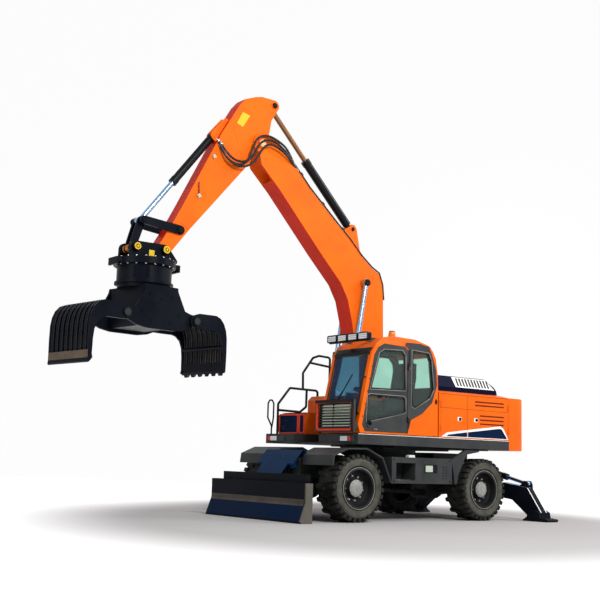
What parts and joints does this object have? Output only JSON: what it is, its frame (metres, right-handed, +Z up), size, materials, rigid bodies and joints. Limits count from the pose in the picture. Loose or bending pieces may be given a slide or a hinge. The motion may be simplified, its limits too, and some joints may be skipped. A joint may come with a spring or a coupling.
{
  "type": "wheeled excavator with rotating sorting grab",
  "caption": "Orange wheeled excavator with a tall boom, a rotating two-jaw sorting grab, a blade at the front and outriggers at the back, every hydraulic linkage jointed.",
  "frame": {"origin": "Middle of the ground rectangle under the machine and its reaching grab, on the ground the wheels stand on.", "axes": "+X points forward, along the boom in its rest pose and towards the blade; +Y is the machine's left, the cab side; +Z is up."},
  "size_m": [8.5151, 3.66, 6.816],
  "materials": {
    "orange_paint": "semi_gloss",
    "orange_dark": "satin",
    "chassis_paint": "satin",
    "navy_paint": "satin",
    "grab_steel": "satin",
    "tyre_rubber": "matte",
    "rim_paint": "satin",
    "rod_chrome": "polished",
    "cylinder_paint": "satin",
    "tinted_glass": "polished",
    "cast_block": "rough",
    "seat_cloth": "matte",
    "lamp_plastic": "gloss",
    "hose_rubber": "matte"
  },
  "bodies": {
    "chassis": {"chassis_frame": "chassis_paint", "front_axle": "chassis_paint", "rear_axle": "chassis_paint", "drive_shaft": "chassis_paint", "side_boxes": "chassis_paint", "fenders": "chassis_paint", "front_cover": "navy_paint"},
    "knuckle_left": {"knuckle_left": "chassis_paint"},
    "knuckle_right": {"knuckle_right": "chassis_paint"},
    "wheel_front_left": {"tyre_front_left": "tyre_rubber", "rim_front_left": "rim_paint"},
    "wheel_front_right": {"tyre_front_right": "tyre_rubber", "rim_front_right": "rim_paint"},
    "wheel_rear_left": {"tyre_rear_left": "tyre_rubber", "rim_rear_left": "rim_paint"},
    "wheel_rear_right": {"tyre_rear_right": "tyre_rubber", "rim_rear_right": "rim_paint"},
    "blade_arm": {"blade_arms": "navy_paint"},
    "blade": {"dozer_blade": "navy_paint"},
    "blade_link": {"blade_links": "navy_paint"},
    "blade_cylinder": {"blade_cylinders": "cylinder_paint"},
    "blade_rod": {"blade_rods": "rod_chrome"},
    "outrigger_left": {"outrigger_leg_left": "navy_paint"},
    "outrigger_tube_left": {"outrigger_cylinder_left": "cylinder_paint"},
    "outrigger_stem_left": {"outrigger_rod_left": "rod_chrome"},
    "outrigger_right": {"outrigger_leg_right": "navy_paint"},
    "outrigger_tube_right": {"outrigger_cylinder_right": "cylinder_paint"},
    "outrigger_stem_right": {"outrigger_rod_right": "rod_chrome"},
    "house": {"house_deck": "chassis_paint", "engine_housing": "orange_paint", "counterweight": "orange_dark", "engine_block": "cast_block", "right_boxes": "orange_paint", "handrails": "chassis_paint", "lamps": "lamp_plastic", "cab_shell": "orange_paint", "cab_glass": "tinted_glass", "cab_guard": "chassis_paint", "cab_seat": "seat_cloth"},
    "lid": {"engine_lid": "orange_paint"},
    "door_front": {"service_door_front": "orange_paint"},
    "door_rear": {"service_door_rear": "orange_paint"},
    "door_right": {"service_door_right": "orange_paint"},
    "cab_door_body": {"cab_door": "chassis_paint", "cab_door_glass": "tinted_glass"},
    "boom_body": {"boom": "orange_paint", "boom_pipes": "hose_rubber"},
    "boom_tube": {"boom_cylinders": "cylinder_paint"},
    "boom_stem": {"boom_rods": "rod_chrome"},
    "arm_body": {"arm": "orange_paint"},
    "arm_tube": {"arm_cylinder": "cylinder_paint"},
    "arm_stem": {"arm_rod": "rod_chrome"},
    "tilt_tube": {"tilt_cylinder": "cylinder_paint"},
    "tilt_stem": {"tilt_rod": "rod_chrome"},
    "levers": {"tipping_levers": "orange_paint"},
    "link": {"tipping_link": "orange_paint"},
    "head": {"grab_head": "grab_steel"},
    "grab": {"grab_frame": "grab_steel"},
    "jaw_left_body": {"jaw_left": "grab_steel"},
    "jaw_right_body": {"jaw_right": "grab_steel"}
  },
  "joints": [
    {"name": "steer_left", "type": "hinge", "parent": "chassis", "child": "knuckle_left", "pos_m": [-0.237, 0.88, 0.521], "axis": [0, 0, 1], "range_deg": [-25, 25]},
    {"name": "wheel_spin_front_left", "type": "hinge", "parent": "knuckle_left", "child": "wheel_front_left", "pos_m": [-0.237, 1.015, 0.521], "axis": [0, 1, 0], "continuous": true},
    {"name": "wheel_spin_rear_left", "type": "hinge", "parent": "chassis", "child": "wheel_rear_left", "pos_m": [-3.037, 1.015, 0.521], "axis": [0, 1, 0], "continuous": true},
    {"name": "steer_right", "type": "hinge", "parent": "chassis", "child": "knuckle_right", "pos_m": [-0.237, -0.88, 0.521], "axis": [0, 0, 1], "range_deg": [-25, 25]},
    {"name": "wheel_spin_front_right", "type": "hinge", "parent": "knuckle_right", "child": "wheel_front_right", "pos_m": [-0.237, -1.015, 0.521], "axis": [0, 1, 0], "continuous": true},
    {"name": "wheel_spin_rear_right", "type": "hinge", "parent": "chassis", "child": "wheel_rear_right", "pos_m": [-3.037, -1.015, 0.521], "axis": [0, 1, 0], "continuous": true},
    {"name": "blade_lift", "type": "hinge", "parent": "chassis", "child": "blade_arm", "pos_m": [0.193, 0, 0.43], "axis": [0, -1, 0], "range_deg": [-7, 35]},
    {"name": "blade_level", "type": "hinge", "parent": "blade_arm", "child": "blade", "pos_m": [0.653, 0, 0.3], "axis": [0, -1, 0], "range_deg": [-35.72, 7.16]},
    {"name": "blade_link_swing", "type": "hinge", "parent": "chassis", "child": "blade_link", "pos_m": [0.193, 0, 0.64], "axis": [0, -1, 0], "range_deg": [-7.16, 35.72]},
    {"name": "blade_cylinder_swing", "type": "hinge", "parent": "chassis", "child": "blade_cylinder", "pos_m": [0.353, 0, 0.89], "axis": [0, -1, 0], "range_deg": [-2.18, 10.8]},
    {"name": "blade_rod_slide", "type": "slide", "parent": "blade_cylinder", "child": "blade_rod", "axis": [0.3483, 0, -0.9374], "range_m": [-0.2604, 0.05368]},
    {"name": "outrigger_swing_left", "type": "hinge", "parent": "chassis", "child": "outrigger_left", "pos_m": [-4.107, 0.52, 0.47], "axis": [1, 0, 0], "range_deg": [-6, 45]},
    {"name": "outrigger_cylinder_swing_left", "type": "hinge", "parent": "chassis", "child": "outrigger_tube_left", "pos_m": [-4.107, 0.33, 0.85], "axis": [1, 0, 0], "range_deg": [-4.92, 36.74]},
    {"name": "outrigger_rod_slide_left", "type": "slide", "parent": "outrigger_tube_left", "child": "outrigger_stem_left", "axis": [0, 0.9732, -0.2298], "range_m": [-0.2981, 0.04148]},
    {"name": "outrigger_swing_right", "type": "hinge", "parent": "chassis", "child": "outrigger_right", "pos_m": [-4.107, -0.52, 0.47], "axis": [-1, 0, 0], "range_deg": [-6, 45]},
    {"name": "outrigger_cylinder_swing_right", "type": "hinge", "parent": "chassis", "child": "outrigger_tube_right", "pos_m": [-4.107, -0.33, 0.85], "axis": [-1, 0, 0], "range_deg": [-4.92, 36.74]},
    {"name": "outrigger_rod_slide_right", "type": "slide", "parent": "outrigger_tube_right", "child": "outrigger_stem_right", "axis": [0, -0.9732, -0.2298], "range_m": [-0.2981, 0.04148]},
    {"name": "swing", "type": "hinge", "parent": "chassis", "child": "house", "pos_m": [-1.887, 0, 1.085], "axis": [0, 0, 1], "continuous": true},
    {"name": "engine_lid_hinge", "type": "hinge", "parent": "house", "child": "lid", "pos_m": [-3.672, 0.15, 2.174], "axis": [0, -1, 0], "range_deg": [0, 70]},
    {"name": "service_door_front_hinge", "type": "hinge", "parent": "house", "child": "door_front", "pos_m": [-2.009, 1.226, 1.7], "axis": [0, 0, 1], "range_deg": [-110, 0]},
    {"name": "service_door_rear_hinge", "type": "hinge", "parent": "house", "child": "door_rear", "pos_m": [-3.667, 1.226, 1.7], "axis": [0, 0, 1], "range_deg": [0, 110]},
    {"name": "service_door_right_hinge", "type": "hinge", "parent": "house", "child": "door_right", "pos_m": [-3.584, -1.226, 1.7], "axis": [0, 0, -1], "range_deg": [0, 110]},
    {"name": "cab_door_hinge", "type": "hinge", "parent": "house", "child": "cab_door_body", "pos_m": [-1.25, 1.226, 2.05], "axis": [0, 0, 1], "range_deg": [0, 150]},
    {"name": "boom_lift", "type": "hinge", "parent": "house", "child": "boom_body", "pos_m": [-1.487, -0.08, 1.75], "axis": [0, -1, 0], "range_deg": [-85, 4]},
    {"name": "boom_cylinder_swing", "type": "hinge", "parent": "house", "child": "boom_tube", "pos_m": [-0.787, -0.08, 1.4], "axis": [0, -1, 0], "range_deg": [-86.72, 4.1]},
    {"name": "boom_rod_slide", "type": "slide", "parent": "boom_tube", "child": "boom_stem", "axis": [-0.1645, 0, 0.9864], "range_m": [-1.07151, 0.05328]},
    {"name": "arm_swing", "type": "hinge", "parent": "boom_body", "child": "arm_body", "pos_m": [1.017, -0.08, 6.015], "axis": [0, 1, 0], "range_deg": [-80, 25]},
    {"name": "arm_cylinder_swing", "type": "hinge", "parent": "boom_body", "child": "arm_tube", "pos_m": [-1.041, -0.08, 4.924], "axis": [0, 1, 0], "range_deg": [-1.19, 3.77]},
    {"name": "arm_rod_slide", "type": "slide", "parent": "arm_tube", "child": "arm_stem", "axis": [0.7081, 0, 0.7061], "range_m": [-0.9556, 0.30069]},
    {"name": "head_tilt", "type": "hinge", "parent": "arm_body", "child": "head", "pos_m": [2.738, -0.08, 3.984], "axis": [0, -1, 0], "range_deg": [-50, 80]},
    {"name": "lever_swing", "type": "hinge", "parent": "arm_body", "child": "levers", "pos_m": [2.465, -0.08, 4.343], "axis": [0, -1, 0], "range_deg": [-38.27, 61.22]},
    {"name": "link_swing", "type": "hinge", "parent": "head", "child": "link", "pos_m": [3.229, -0.08, 3.972], "axis": [0, -1, 0], "range_deg": [-76.15, 47.6]},
    {"name": "tilt_cylinder_swing", "type": "hinge", "parent": "arm_body", "child": "tilt_tube", "pos_m": [1.874, -0.08, 5.985], "axis": [0, -1, 0], "range_deg": [-3.28, 5.24]},
    {"name": "tilt_rod_slide", "type": "slide", "parent": "tilt_tube", "child": "tilt_stem", "axis": [0.6124, 0, -0.7905], "range_m": [-0.54091, 0.33919]},
    {"name": "grab_rotation", "type": "hinge", "parent": "head", "child": "grab", "pos_m": [2.963, -0.08, 3.43], "axis": [0, 0, 1], "continuous": true},
    {"name": "jaw_left_swing", "type": "hinge", "parent": "grab", "child": "jaw_left_body", "pos_m": [3.5883, -0.00322, 2.93], "axis": [-0.1219, 0.9925, 0], "range_deg": [-8, 78]},
    {"name": "jaw_right_swing", "type": "hinge", "parent": "grab", "child": "jaw_right_body", "pos_m": [2.3377, -0.15678, 2.93], "axis": [-0.1219, 0.9925, 0], "range_deg": [-78, 8]}
  ],
  "couplings": [
    {"joint": "steer_right", "follows": "steer_left", "ratio": 1},
    {"joint": "blade_level", "follows": "blade_lift", "ratio": -1},
    {"joint": "blade_link_swing", "follows": "blade_lift", "ratio": 1},
    {"joint": "blade_cylinder_swing", "follows": "blade_lift", "ratio": 0.302},
    {"joint": "blade_rod_slide", "follows": "blade_lift", "m_per_rad": -0.423},
    {"joint": "outrigger_cylinder_swing_left", "follows": "outrigger_swing_left", "ratio": 0.8},
    {"joint": "outrigger_rod_slide_left", "follows": "outrigger_swing_left", "m_per_rad": -0.377},
    {"joint": "outrigger_cylinder_swing_right", "follows": "outrigger_swing_right", "ratio": 0.8},
    {"joint": "outrigger_rod_slide_right", "follows": "outrigger_swing_right", "m_per_rad": -0.377},
    {"joint": "boom_cylinder_swing", "follows": "boom_lift", "ratio": 1},
    {"joint": "boom_rod_slide", "follows": "boom_lift", "m_per_rad": 0.72025},
    {"joint": "arm_cylinder_swing", "follows": "arm_swing", "ratio": -0.046},
    {"joint": "arm_rod_slide", "follows": "arm_swing", "m_per_rad": 0.68225},
    {"joint": "lever_swing", "follows": "head_tilt", "ratio": 0.75},
    {"joint": "link_swing", "follows": "head_tilt", "ratio": -0.933},
    {"joint": "tilt_cylinder_swing", "follows": "head_tilt", "ratio": 0.064},
    {"joint": "tilt_rod_slide", "follows": "head_tilt", "m_per_rad": -0.38525},
    {"joint": "jaw_right_swing", "follows": "jaw_left_swing", "ratio": -1}
  ]
}
